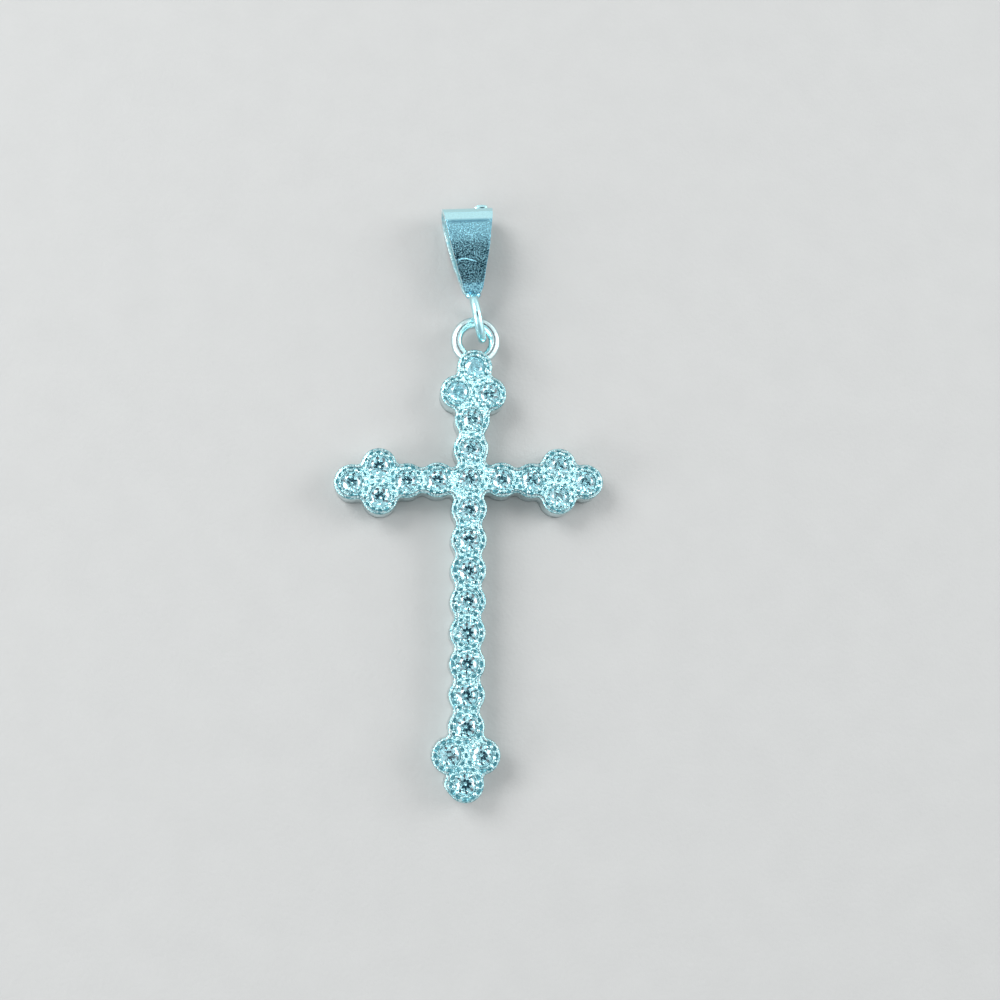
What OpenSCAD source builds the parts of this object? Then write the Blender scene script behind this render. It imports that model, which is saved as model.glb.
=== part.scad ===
// Cross pendant: a cast cross of round stone cells with trefoil ends, round
// brilliant stones set in it, a cast loop, and a folded strip bail on a ring.
// It lies on its back. The foot points to -Y, the bail to +Y, the face up.
// The origin is on the flat back, under the stone at the crossing.

/* [Stones] */
// Diameter of each round stone
stone_d = 1.5; // [1.2:0.05:2]
// Height of the crown above the girdle
crown_h = 0.24; // [0.15:0.01:0.35]
// Thickness of the girdle
girdle_h = 0.05; // [0.02:0.01:0.1]
// Depth of the pavilion below the girdle
pavilion_h = 0.64; // [0.5:0.01:0.9]
// Width of the table as a share of the stone's diameter
table_share = 0.56; // [0.5:0.01:0.65]
// Height of the table above the rim of the cells
table_rise = 0.04; // [0:0.01:0.1]
// Clearance between a stone and its seat
seat_gap = 0.03; // [0.02:0.01:0.06]

/* [Rows of cells] */
// Metal left between two stones of a row
row_gap = 0.7; // [0.6:0.05:1]
// Metal left between two stones of a trefoil
trefoil_gap = 0.75; // [0.6:0.05:1]
// Cells in a row below the crossing
cells_down = 8; // [3:1:8]
// Cells in a row above the crossing
cells_up = 2; // [1:1:3]
// Cells in a row on each side of the crossing
cells_side = 2; // [1:1:3]
// Extra metal between the crossing and the first cell of each side arm
side_extra = 0.12; // [0:0.02:0.3]
// How far the head leans to the right, in degrees
head_lean = 1.8; // [0:0.2:3]
// How far the left arm droops, in degrees
left_droop = 3; // [0:0.2:3]

/* [Casting] */
// Thickness of the cross from back to rim
cross_t = 2; // [1.6:0.1:3]
// Width of the raised rim round the outline
rim_w = 0.15; // [0.08:0.01:0.3]
// Depth of the beaded floor below the rim
floor_depth = 0.15; // [0.08:0.01:0.25]
// How far the outline draws in between two cells
waist_depth = 0.35; // [0.2:0.01:0.5]
// Bevel along the edges of the rim and of the back
edge_bevel = 0.08; // [0.03:0.01:0.12]
// Diameter of the light hole behind each stone
light_hole_d = 0.7; // [0.4:0.05:0.9]

/* [Beads] */
// Diameter of the small beads round the stones
bead_d = 0.3; // [0.15:0.01:0.32]
// Clearance on both sides of a ring of beads
bead_gap = 0.03; // [0.01:0.005:0.04]
// Beads round each stone
beads_per_stone = 12; // [8:1:12]

/* [Pits] */
// Diameter of the pits where cells meet
pit_d = 0.22; // [0.14:0.01:0.24]
// Depth of the pits below the floor
pit_depth = 0.25; // [0.1:0.01:0.4]
// Metal left between the outer pits of a waist and the rim
pit_edge = 0.165; // [0.05:0.005:0.2]

/* [Loop] */
// Wire diameter of the cast loop
loop_wire_d = 0.85; // [0.5:0.05:1]
// Inner diameter of the cast loop
loop_hole_d = 1.95; // [1.5:0.05:2.5]
// How far the tip cell reaches into the loop's hole
loop_bite = 0.2; // [0.1:0.05:0.5]

/* [Ring] */
// Wire diameter of the ring on the bail
ring_wire_d = 0.65; // [0.5:0.05:0.9]
// Inner diameter of the ring on the bail
ring_hole_d = 2.5; // [2.2:0.05:2.8]
// Space between the ring and the loop's bar above it
ring_gap = 0.24; // [0.16:0.01:0.3]
// How far the middle of the ring lies beyond the loop's bar
ring_reach = 0.2; // [0:0.02:0.42]
// How far the ring lies to the right of the loop's middle
ring_side = 0.06; // [0:0.02:0.2]
// Turn of the ring against the cross, seen from above
ring_turn = 12; // [0:1:16]
// How far the top of the ring leans to the left, in degrees
ring_lean = 8; // [0:1:10]

/* [Bail] */
// How deep the strip's end is soldered into the ring's wire
solder_depth = 0.2; // [0.1:0.01:0.3]
// Length of the folded strip, from its soldered end to its fold
bail_l = 6.85; // [5:0.1:10]
// Width of the strip at its fold
bail_w = 3.75; // [2.5:0.05:5]
// Width of the strip at its end on the ring
bail_end_w = 1.55; // [1:0.05:2]
// Bulge of the strip's long edges
bail_bulge = 0.12; // [0.05:0.01:0.4]
// Thickness of the strip
strip_t = 0.32; // [0.2:0.01:0.5]
// Height of the fold
fold_h = 2.7; // [2:0.1:3.5]
// Gap between the strip's two leaves at their ends
leaf_gap = 0.06; // [0.02:0.01:0.2]
// Turn of the bail against the cross, seen from above
bail_turn = 4.6; // [0:1:12]

/* [Hidden] */
$fn = 48;
bead_fn = 16;
wire_fn = 24;
// How far a cutter runs past what it cuts
over = 1;

// Cells, worked out from the stone outwards
seat_d = stone_d + 2 * seat_gap;
bead_ring_d = seat_d + 2 * bead_gap + bead_d;
floor_d = bead_ring_d + bead_d + 2 * bead_gap;
cell_d = floor_d + 2 * rim_w;
bar_w = cell_d - 2 * waist_depth;
floor_z = cross_t - floor_depth;
girdle_z = cross_t + table_rise - crown_h - girdle_h;

// Places of the cells
pitch = stone_d + row_gap;
trefoil_pitch = stone_d + trefoil_gap;
trefoil_step = trefoil_pitch * cos(30);
trefoil_half = trefoil_pitch / 2;

// Arms of the cross: name, direction in degrees, cells in the row, extra length before the row
ARMS = [
    ["foot", 270, cells_down, 0],
    ["head", 90 - head_lean, cells_up, 0],
    ["left", 180 + left_droop, cells_side, side_extra],
    ["right", 0, cells_side, side_extra]
];
HEAD = ARMS[1];

// A point at a distance out along an arm and at a distance to its left
function on_arm(arm, out, side = 0) =
    [out * cos(arm[1]) - side * sin(arm[1]), out * sin(arm[1]) + side * cos(arm[1])];

// How far out a cell of an arm's row lies
function row_out(arm, i) = arm[3] + i * pitch;

// Corners of an arm's trefoil: last cell of the row, one of the pair, the tip, the other of the pair
function trefoil(arm) = [
    on_arm(arm, row_out(arm, arm[2])),
    on_arm(arm, row_out(arm, arm[2]) + trefoil_step, -trefoil_half),
    on_arm(arm, row_out(arm, arm[2]) + 2 * trefoil_step),
    on_arm(arm, row_out(arm, arm[2]) + trefoil_step, trefoil_half)
];

// Cells with their stones: name of the stone, middle of the cell, turn of the cell's beads
CELLS = concat(
    [["stone_centre", [0, 0], 0]],
    [for (arm = ARMS) for (i = [1 : arm[2]])
        [str("stone_", arm[0], "_", i), on_arm(arm, row_out(arm, i)), arm[1]]],
    [for (arm = ARMS) [str("stone_", arm[0], "_pair_a"), trefoil(arm)[1], arm[1]]],
    [for (arm = ARMS) [str("stone_", arm[0], "_pair_b"), trefoil(arm)[3], arm[1]]],
    [for (arm = ARMS) [str("stone_", arm[0], "_tip"), trefoil(arm)[2], arm[1]]]
);

// Pits: three across each waist of a row, and three along the middle of each trefoil
pit_side = bar_w / 2 - rim_w - pit_edge - pit_d / 2;
PITS = concat(
    [for (arm = ARMS) for (i = [1 : arm[2]]) for (side = [-pit_side, 0, pit_side])
        on_arm(arm, i == 1 ? row_out(arm, 1) / 2 : row_out(arm, i - 0.5), side)],
    [for (arm = ARMS) for (share = [2 / 3, 1, 4 / 3]) on_arm(arm, row_out(arm, arm[2]) + share * trefoil_step)]
);

// Loop, standing off the tip cell of the head, high enough to let the ring pass under its bar
loop_r = (loop_hole_d + loop_wire_d) / 2;
loop_out = row_out(HEAD, cells_up) + 2 * trefoil_step + cell_d / 2 + loop_hole_d / 2 - loop_bite;
loop_at = on_arm(HEAD, loop_out);
loop_z = ring_wire_d + ring_gap + loop_wire_d / 2;

// Ring, on its edge round the loop's bar, leaning about its level axis through the strip's end
ring_r = (ring_hole_d + ring_wire_d) / 2;
ring_at = on_arm(HEAD, loop_out + loop_r + ring_reach, -ring_side);
ring_z = ring_r * cos(ring_lean) + ring_wire_d / 2;

// Bail, from the ring's far side to the fold
fold_r = fold_h / 2;
end_r = strip_t + leaf_gap / 2;
joint_at = ring_at + (ring_r + ring_wire_d / 2 - solder_depth) * [-sin(ring_turn), cos(ring_turn)];

// Points of an arc about a centre
function arc(centre, r, from, to, steps) =
    [for (i = [0 : steps]) let (a = from + (to - from) * i / steps) centre + r * [cos(a), sin(a)]];

// Points of a level ring about the axis
function level(r, z, count, turn = 0) =
    [for (i = [0 : count - 1]) let (a = turn + i * 360 / count) [r * cos(a), r * sin(a), z]];

// Section of a bevelled slab to one side of its middle
function slab_side(half) = [
    [half - edge_bevel, 0], [half, edge_bevel],
    [half, cross_t - edge_bevel], [half - edge_bevel, cross_t]
];

// Bevelled disc of one cell
module cell_disc() {
    rotate_extrude()
        polygon(concat([[0, 0]], slab_side(cell_d / 2), [[0, cross_t]]));
}

// Bevelled bar that joins the cells of an arm
module arm_bar(length) {
    right = slab_side(bar_w / 2);
    left = [for (i = [3 : -1 : 0]) [-right[i][0], right[i][1]]];
    rotate([90, 0, 90])
        linear_extrude(length)
            polygon(concat(right, left));
}

// Sunk floor inside the rim, as one cutter
module floor_cut() {
    translate([0, 0, floor_z])
        linear_extrude(floor_depth + over) {
            for (cell = CELLS)
                translate(cell[1])
                    circle(d = floor_d);
            for (arm = ARMS) {
                rotate(arm[1])
                    translate([0, rim_w - bar_w / 2])
                        square([row_out(arm, arm[2]), bar_w - 2 * rim_w]);
                polygon(trefoil(arm));
            }
        }
}

// Seat of one stone, with the light hole through the back
module seat_cut() {
    r = seat_d / 2;
    hole = light_hole_d / 2;
    slope = pavilion_h / (stone_d / 2);
    rotate_extrude()
        polygon([
            [0, -over], [hole, -over], [hole, girdle_z - (r - hole) * slope],
            [r, girdle_z], [r, cross_t + over], [0, cross_t + over]
        ]);
}

// Ring of beads round one stone
module bead_ring(turn) {
    for (i = [0 : beads_per_stone - 1])
        rotate(turn + (i + 0.5) * 360 / beads_per_stone)
            translate([bead_ring_d / 2, 0, cross_t - bead_d / 2])
                sphere(d = bead_d, $fn = bead_fn);
}

// Wire ring in the XY plane
module wire_ring(r, wire_d) {
    rotate_extrude()
        translate([r, 0])
            circle(d = wire_d, $fn = wire_fn);
}

// The casting: cells, bars, webs, rim, beads and loop in one solid
module cross() {
    color("lightsteelblue") {
        difference() {
            union() {
                for (cell = CELLS)
                    translate(cell[1])
                        cell_disc();
                for (arm = ARMS) {
                    rotate(arm[1])
                        arm_bar(row_out(arm, arm[2]));
                    linear_extrude(cross_t)
                        polygon(trefoil(arm));
                }
                translate([loop_at[0], loop_at[1], loop_z])
                    wire_ring(loop_r, loop_wire_d);
            }
            floor_cut();
            for (cell = CELLS)
                translate(cell[1])
                    seat_cut();
            for (place = PITS)
                translate([place[0], place[1], floor_z - pit_depth])
                    cylinder(d = pit_d, h = pit_depth + over);
        }
        for (cell = CELLS)
            translate(cell[1])
                bead_ring(cell[2]);
    }
}

// Round brilliant about its axis, with the bottom of its girdle at z = 0
module brilliant() {
    r = stone_d / 2;
    table_r = r * table_share;
    top = girdle_h + crown_h;
    // Height of the star points, and their distance out that keeps the kite facets flat
    star_z = girdle_h + crown_h * 0.55;
    star_r = (table_r + (r - table_r) * (top - star_z) / crown_h) / cos(22.5);
    // Depth of the lower halves, and the same for the pavilion's main facets
    half_z = pavilion_h * 0.79;
    half_r = r * (1 - half_z / pavilion_h) / cos(22.5);
    points = concat(
        level(table_r, top, 8),
        level(star_r, star_z, 8, 22.5),
        level(r, girdle_h, 16),
        level(r, 0, 16),
        level(half_r, -half_z, 8, 22.5),
        [[0, 0, -pavilion_h]]
    );
    star = 8;
    upper = 16;
    lower = 32;
    half = 48;
    culet = 56;
    faces = concat(
        [[for (i = [7 : -1 : 0]) i]],
        [for (i = [0 : 7]) let (n = (i + 1) % 8) [i, n, star + i]],
        [for (i = [0 : 7]) let (p = (i + 7) % 8) [i, star + i, upper + 2 * i, star + p]],
        [for (i = [0 : 7]) [star + i, upper + 2 * i + 1, upper + 2 * i]],
        [for (i = [0 : 7]) [star + i, upper + (2 * i + 2) % 16, upper + 2 * i + 1]],
        [for (j = [0 : 15]) let (n = (j + 1) % 16) [lower + j, upper + j, upper + n, lower + n]],
        [for (i = [0 : 7]) [half + i, lower + 2 * i, lower + 2 * i + 1]],
        [for (i = [0 : 7]) [half + i, lower + 2 * i + 1, lower + (2 * i + 2) % 16]],
        [for (i = [0 : 7]) let (p = (i + 7) % 8) [culet, half + p, lower + 2 * i, half + i]]
    );
    polyhedron(points, faces);
}

// The stone of one cell, each turned its own way
module stone(index) {
    color("azure")
        translate([CELLS[index][1][0], CELLS[index][1][1], girdle_z])
            rotate(index * 37)
                brilliant();
}

// Side outline of the folded strip: round a big fold and a small end, drawn in by a wall
function fold_outline(wall) =
    let (
        fold = [bail_l - fold_r, fold_r],
        end = [0, ring_z],
        run = fold - end,
        tilt = atan2(run[1], run[0]),
        flare = asin((fold_r - end_r) / norm(run))
    )
    concat(
        arc(fold, fold_r - wall, tilt - 90 - flare, tilt + 90 + flare, 32),
        arc(end, end_r - wall, tilt + 90 + flare, tilt + 270 - flare, 12)
    );

// Half width of the strip at a share of the way from its fold to its end
function half_width(share) =
    bail_w / 2 + (bail_end_w - bail_w) / 2 * share + bail_bulge * 4 * share * (1 - share);

// Outline of the strip from above, tapered from the fold to a round end
function strip_outline(steps = 8) =
    let (
        end_w = bail_end_w / 2,
        side = [for (i = [0 : steps]) [half_width(i / steps), bail_l - (bail_l - end_w) * i / steps]]
    )
    concat(
        side,
        arc([0, end_w], end_w, -15, -165, 10),
        [for (i = [steps : -1 : 0]) [-side[i][0], side[i][1]]]
    );

// The folded strip, with its end on the origin and its fold towards +Y
module bail_strip() {
    intersection() {
        rotate([90, 0, 90])
            translate([0, 0, -bail_w])
                linear_extrude(2 * bail_w)
                    difference() {
                        polygon(fold_outline(0));
                        polygon(fold_outline(strip_t));
                    }
        translate([0, 0, -over])
            linear_extrude(fold_h + 2 * over)
                polygon(strip_outline());
    }
}

// The bail: the folded strip soldered to the ring that holds the loop
module bail() {
    color("lightsteelblue") {
        translate([ring_at[0], ring_at[1], ring_z])
            rotate([0, 90 - ring_lean, ring_turn])
                wire_ring(ring_r, ring_wire_d);
        translate([joint_at[0], joint_at[1], 0])
            rotate(bail_turn)
                bail_strip();
    }
}

cross();
bail();
for (i = [0 : len(CELLS) - 1])
    stone(i);
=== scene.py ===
"""Dresses the cross pendant: cast silver, soldered silver strip and clear cut stones on a plain pale floor.

The bench works in millimetres, in the frame's axes: the cross lies on its back with its foot towards -Y, its
bail towards +Y and its stones up. A finished piece is settled into the frame in metres, with its object at
the origin and its place in its mesh.
"""

import logging
import math
import random
from contextlib import contextmanager
from dataclasses import dataclass
from enum import Enum
from typing import Callable, Iterable, Iterator, Sequence

import bmesh
import bpy
from mathutils import Matrix, Vector, noise

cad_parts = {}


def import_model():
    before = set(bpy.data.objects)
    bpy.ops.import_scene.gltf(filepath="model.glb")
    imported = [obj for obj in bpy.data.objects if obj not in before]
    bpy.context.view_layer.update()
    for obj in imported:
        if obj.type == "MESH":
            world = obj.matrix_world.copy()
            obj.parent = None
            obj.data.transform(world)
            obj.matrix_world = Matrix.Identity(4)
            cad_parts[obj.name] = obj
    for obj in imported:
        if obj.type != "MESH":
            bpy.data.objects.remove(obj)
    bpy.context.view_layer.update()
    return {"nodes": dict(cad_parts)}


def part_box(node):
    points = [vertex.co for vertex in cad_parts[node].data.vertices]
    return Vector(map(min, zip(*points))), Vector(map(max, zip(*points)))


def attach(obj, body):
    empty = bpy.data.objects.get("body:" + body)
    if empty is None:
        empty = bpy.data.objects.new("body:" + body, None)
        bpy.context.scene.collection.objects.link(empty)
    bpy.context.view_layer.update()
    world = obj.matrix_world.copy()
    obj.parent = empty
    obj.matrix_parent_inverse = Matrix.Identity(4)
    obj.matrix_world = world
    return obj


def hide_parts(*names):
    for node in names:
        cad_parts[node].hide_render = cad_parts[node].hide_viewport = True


LOG = logging.getLogger("pendant")
MM = 0.001
BODY = "root"
TINY = 1e-4
BAIL_TURN = math.radians(4.6)
Piece = bpy.types.Object
Material = bpy.types.Material
Colour = tuple[float, float, float, float]
Triple = tuple[float, float, float]
Span = tuple[float, float]
Sides = tuple[int, int]


class Slot(Enum):
    """The record's material slots."""

    CASTING = "cast_silver"
    BAIL = "bail_silver"
    STONE = "stone"


class Join(Enum):
    """Ways of combining a piece with a tool."""

    ADD = "UNION"
    CUT = "DIFFERENCE"


# Bench tools


def heading(angle: float) -> Vector:
    """The way that points at an angle from +X, seen from above."""
    return Vector((math.cos(angle), math.sin(angle)))


def arched(share: float) -> float:
    """A parabola over a span: 0 at both of its ends and 1 in its middle."""
    return 4 * share * (1 - share)


def on_bench(name: str, data: bpy.types.ID) -> Piece:
    """Puts a mesh or camera on the bench as an object."""
    piece = bpy.data.objects.new(name, data)
    bpy.context.collection.objects.link(piece)
    return piece


def pick(piece: Piece) -> None:
    """Selects a piece and nothing else, and makes it active."""
    bpy.ops.object.select_all(action="DESELECT")
    piece.select_set(True)
    bpy.context.view_layer.objects.active = piece


def primitive(add: Callable[..., set], **sizes: object) -> Piece:
    """Adds a primitive alone in the selection, with its place in its mesh.

    Args:
        add: The operator that adds it.
        sizes: The operator's sizes, place and turn, in millimetres.

    Returns:
        The new piece.
    """
    bpy.ops.object.select_all(action="DESELECT")
    add(**sizes)
    bpy.ops.object.transform_apply(location=True, rotation=True, scale=True)
    return bpy.context.view_layer.objects.active


def torus(radius: float, wire: float, sides: Sides, **place: object) -> Piece:
    """Adds a torus.

    Args:
        radius: From its middle to the middle of its wire.
        wire: The wire's own radius.
        sides: Its sides round the middle, and round the wire.
        place: The operator's place and turn.

    Returns:
        The torus.
    """
    sizes = dict(major_radius=radius, minor_radius=wire, major_segments=sides[0], minor_segments=sides[1])
    return primitive(bpy.ops.mesh.primitive_torus_add, **sizes, **place)


def ball(sides: Sides) -> Piece:
    """Adds a ball of radius 1, with its sides round the axis and from pole to pole."""
    return primitive(bpy.ops.mesh.primitive_uv_sphere_add, segments=sides[0], ring_count=sides[1], radius=1)


@contextmanager
def editing(piece: Piece, mode: str = "FACE") -> Iterator[None]:
    """Holds a piece open in edit mode, with nothing selected at the start.

    Args:
        piece: The piece to edit.
        mode: What is selected in it: VERT, EDGE or FACE.

    Yields:
        Nothing. Edit mode ends with the block.
    """
    pick(piece)
    bpy.ops.object.mode_set(mode="EDIT")
    bpy.ops.mesh.select_mode(type=mode)
    bpy.ops.mesh.select_all(action="DESELECT")
    try:
        yield
    finally:
        bpy.ops.object.mode_set(mode="OBJECT")


def grab(piece: Piece, kind: str, test: Callable[..., bool]) -> None:
    """Selects the faces or edges that pass a test, and only them.

    Args:
        piece: A piece that is held open in edit mode.
        kind: What to go through: faces or edges.
        test: Tells whether one of them is wanted.
    """
    bpy.ops.mesh.select_all(action="DESELECT")
    mesh = bmesh.from_edit_mesh(piece.data)
    for part in getattr(mesh, kind):
        if test(part):
            part.select_set(True)
    bmesh.update_edit_mesh(piece.data)


def face_outwards(piece: Piece) -> None:
    """Turns every face of a closed piece outwards."""
    with editing(piece):
        bpy.ops.mesh.select_all(action="SELECT")
        bpy.ops.mesh.normals_make_consistent(inside=False)


def finish_with(piece: Piece, kind: str, **settings: object) -> None:
    """Adds a modifier to a piece and applies it.

    Args:
        piece: The piece to finish.
        kind: The modifier's type, such as BEVEL.
        settings: Values of the modifier's properties.
    """
    modifier = piece.modifiers.new(kind.title(), kind)
    for name, value in settings.items():
        setattr(modifier, name, value)
    pick(piece)
    bpy.ops.object.modifier_apply(modifier=modifier.name)


def combine(piece: Piece, tool: Piece, join: Join) -> None:
    """Adds a tool's shape to a piece or cuts it out, and takes the tool off the bench."""
    ways = dict(operation=join.value, solver="MANIFOLD", material_mode="TRANSFER")
    finish_with(piece, "BOOLEAN", object=tool, **ways)
    bpy.data.objects.remove(tool)


def drawn_up(rings: Sequence[Span], sides: int) -> Piece:
    """Draws a round solid up from a disc by extruding and resizing it ring by ring.

    Args:
        rings: Height and radius of each ring, from the lowest.
        sides: Number of sides.

    Returns:
        The closed solid about the Z axis.
    """
    (height, radius), *upper = rings
    disc = dict(vertices=sides, radius=radius, fill_type="NGON", location=(0, 0, height))
    piece = primitive(bpy.ops.mesh.primitive_circle_add, **disc)
    with editing(piece):
        bpy.ops.mesh.select_all(action="SELECT")
        for next_height, next_radius in upper:
            rise = {"value": (0, 0, next_height - height)}
            bpy.ops.mesh.extrude_region_move(TRANSFORM_OT_translate=rise)
            share = next_radius / radius
            bpy.ops.transform.resize(value=(share, share, 1), center_override=(0, 0, next_height))
            height, radius = next_height, next_radius
    face_outwards(piece)
    return piece


def repeated(model: Piece, places: Iterable[Matrix]) -> Piece:
    """Copies a model to every place as one joined piece, and takes the model off the bench.

    Args:
        model: The piece to copy, modelled at the origin.
        places: The place, turn and scale of each copy.

    Returns:
        The joined piece, with the model's materials.
    """
    joined = bmesh.new()
    for place in places:
        copy = model.data.copy()
        copy.transform(place)
        joined.from_mesh(copy)
        bpy.data.meshes.remove(copy)
    mesh = bpy.data.meshes.new(model.name)
    joined.to_mesh(mesh)
    joined.free()
    for material in model.data.materials:
        mesh.materials.append(material)
    piece = on_bench(model.name, mesh)
    bpy.data.objects.remove(model)
    return piece


def smoothed(piece: Piece, angle: float = 35) -> None:
    """Shades a piece smooth, but not over edges sharper than an angle in degrees."""
    pick(piece)
    bpy.ops.object.shade_smooth_by_angle(angle=math.radians(angle))


def settle(piece: Piece, name: str, slot: Slot, *nodes: str) -> None:
    """Settles a finished piece into the frame, in metres, in place of CAD nodes.

    Args:
        piece: The piece, in millimetres, with its object at the origin.
        name: The piece's name from here on.
        slot: The record's material slot that its finish belongs to. Not used.
        nodes: The CAD nodes that it stands for, alone or with other pieces.
    """
    piece.name = name
    piece.data.name = name
    piece.data.transform(Matrix.Scale(MM, 4))
    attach(piece, BODY)
    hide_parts(*nodes)
    LOG.info("%s: %d faces", name, len(piece.data.polygons))


# Shader maths


@dataclass(frozen=True)
class Lumps:
    """Sizes of a noise: its lumps a millimetre, its finer layers, and how much each of those counts."""

    scale: float
    detail: float = 2
    roughness: float = 0.5


class Wire:
    """A shader socket that Python's operators work on, adding a Math node for each."""

    def __init__(self, recipe: "Recipe", socket: bpy.types.NodeSocket) -> None:
        """Wraps a socket of a recipe's node."""
        self.recipe = recipe
        self.socket = socket

    def _math(self, operation: str, *values: "Wire | float") -> "Wire":
        """Adds a Math node with these values."""
        return self.recipe.add("Math", {"operation": operation}, dict(enumerate(values)))

    def __add__(self, other: "Wire | float") -> "Wire":
        """Adds."""
        return self._math("ADD", self, other)

    __radd__ = __add__

    def __sub__(self, other: "Wire | float") -> "Wire":
        """Subtracts."""
        return self._math("SUBTRACT", self, other)

    def __rsub__(self, other: "Wire | float") -> "Wire":
        """Subtracts from a number."""
        return self._math("SUBTRACT", other, self)

    def __mul__(self, other: "Wire | float") -> "Wire":
        """Multiplies."""
        return self._math("MULTIPLY", self, other)

    __rmul__ = __mul__

    def __pow__(self, power: float) -> "Wire":
        """Raises to a power."""
        return self._math("POWER", self, power)

    def __abs__(self) -> "Wire":
        """Drops the sign."""
        return self._math("ABSOLUTE", self)

    def ramp(self, low: float, high: float) -> "Wire":
        """Goes smoothly from 0 at low to 1 at high, or back where high is the lower one."""
        stops = {"Value": self, "From Min": low, "From Max": high, "To Min": 0.0, "To Max": 1.0}
        return self.recipe.add("MapRange", {"interpolation_type": "SMOOTHSTEP"}, stops)


class Recipe:
    """Builds the nodes of one material or of the world."""

    def __init__(self, owner: Material | bpy.types.World) -> None:
        """Clears the owner's node tree and starts again with nothing in it."""
        owner.use_nodes = True
        self.owner = owner
        self.tree = owner.node_tree
        self.tree.nodes.clear()

    def add(self, kind: str, settings: dict, inputs: dict, output: int | str = 0) -> Wire:
        """Adds a node, sets it up and fills its sockets.

        Args:
            kind: The node's type without its ShaderNode prefix.
            settings: Properties of the node, set before its sockets.
            inputs: Values or wires by the socket's name or number.
            output: The output that is handed on.

        Returns:
            The output as a wire.
        """
        node = self.tree.nodes.new("ShaderNode" + kind)
        for name, value in settings.items():
            setattr(node, name, value)
        for name, value in inputs.items():
            if isinstance(value, Wire):
                self.tree.links.new(value.socket, node.inputs[name])
            else:
                node.inputs[name].default_value = value
        return Wire(self, node.outputs[output])

    def place(self) -> Wire:
        """The point on the object, in millimetres."""
        here = self.add("TexCoord", {}, {}, "Object")
        return self.add("VectorMath", {"operation": "SCALE"}, {0: here, "Scale": 1 / MM})

    def axes(self, vector: Wire) -> tuple[Wire, Wire, Wire]:
        """The three parts of a vector."""
        split = self.add("SeparateXYZ", {}, {0: vector})
        outputs = split.socket.node.outputs
        return Wire(self, outputs[0]), Wire(self, outputs[1]), Wire(self, outputs[2])

    def grains(self, place: Wire, lumps: Lumps) -> Wire:
        """Soft noise round 0.5."""
        sizes = {"Vector": place, "Scale": lumps.scale, "Detail": lumps.detail, "Roughness": lumps.roughness}
        return self.add("TexNoise", {}, sizes)

    def most(self, one: Wire, other: Wire | float) -> Wire:
        """The larger of two values."""
        return self.add("Math", {"operation": "MAXIMUM"}, {0: one, 1: other})

    def blend(self, share: Wire, low: Colour | Wire, high: Colour | Wire) -> Wire:
        """A colour between two others."""
        return self.add("Mix", {"data_type": "RGBA"}, {0: share, 6: low, 7: high}, 2)

    def bump(self, height: Wire, depth: float) -> Wire:
        """A normal from a height between 0 and 1, over a depth in millimetres."""
        return self.add("Bump", {}, {"Height": height, "Distance": depth * MM})

    def surface(self, **inputs: object) -> None:
        """Ends the recipe with a Principled surface, its inputs named with spaces as underscores."""
        sockets = {name.replace("_", " "): value for name, value in inputs.items()}
        self.end("OutputMaterial", self.add("BsdfPrincipled", {}, sockets))

    def end(self, kind: str, shader: Wire) -> None:
        """Links a shader to the output node."""
        node = self.tree.nodes.new("ShaderNode" + kind)
        self.tree.links.new(shader.socket, node.inputs["Surface"])


def recipe_for(name: str) -> Recipe:
    """A recipe for a new material of this name."""
    return Recipe(bpy.data.materials.new(name))


# Finishes


@dataclass(frozen=True)
class CastSilver:
    """Cast silver, sandy between the stones and polished on its walls, its loop and the rim's ridge, where a
    paler colour paints in a highlight.
    """

    bright: Colour = (0.60, 0.91, 0.93, 1)
    # paler polished colour off the sunk face: a painted highlight on the walls, loop, rim and grain tops
    polish_sheen: Colour = (0.72, 0.88, 0.89, 1)
    shade: Colour = (0.09, 0.28, 0.33, 1)
    face_span: Span = (1.86, 1.94)
    face_fade: float = 0.05
    skin: Lumps = Lumps(8.0, 3, 0.7)
    skin_depth: float = 0.060
    skin_least: float = 0.10
    speck_span: Span = (0.53, 0.44)
    speck_wall: float = 0.25
    speck_top: float = 0.65
    cloud: Lumps = Lumps(0.6)
    cloud_shade: float = 0.1
    rough: float = 0.10
    rough_cloud: float = 0.08
    rough_face: float = 0.10

    def made(self) -> Material:
        """Builds the material."""
        r = recipe_for("cast_silver")
        here = r.place()
        _, _, z = r.axes(here)
        low, high = self.face_span
        top = z.ramp(low - self.face_fade, low)
        face = top * z.ramp(high + self.face_fade, high)
        skin = r.grains(here, self.skin)
        cloud = r.grains(here, self.cloud)
        specks = skin.ramp(*self.speck_span) * (self.speck_wall + self.speck_top * top)
        # painted highlight: all but the sunk face takes the paler polished colour
        clean = r.blend(face, self.polish_sheen, self.bright)
        tone = r.blend(specks + (1 - cloud) * self.cloud_shade, clean, self.shade)
        rough = self.rough + self.rough_cloud * cloud + self.rough_face * face
        height = skin * (self.skin_least + (1 - self.skin_least) * face)
        r.surface(Base_Color=tone, Metallic=1.0, Roughness=rough, Normal=r.bump(height, self.skin_depth))
        return r.owner


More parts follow.
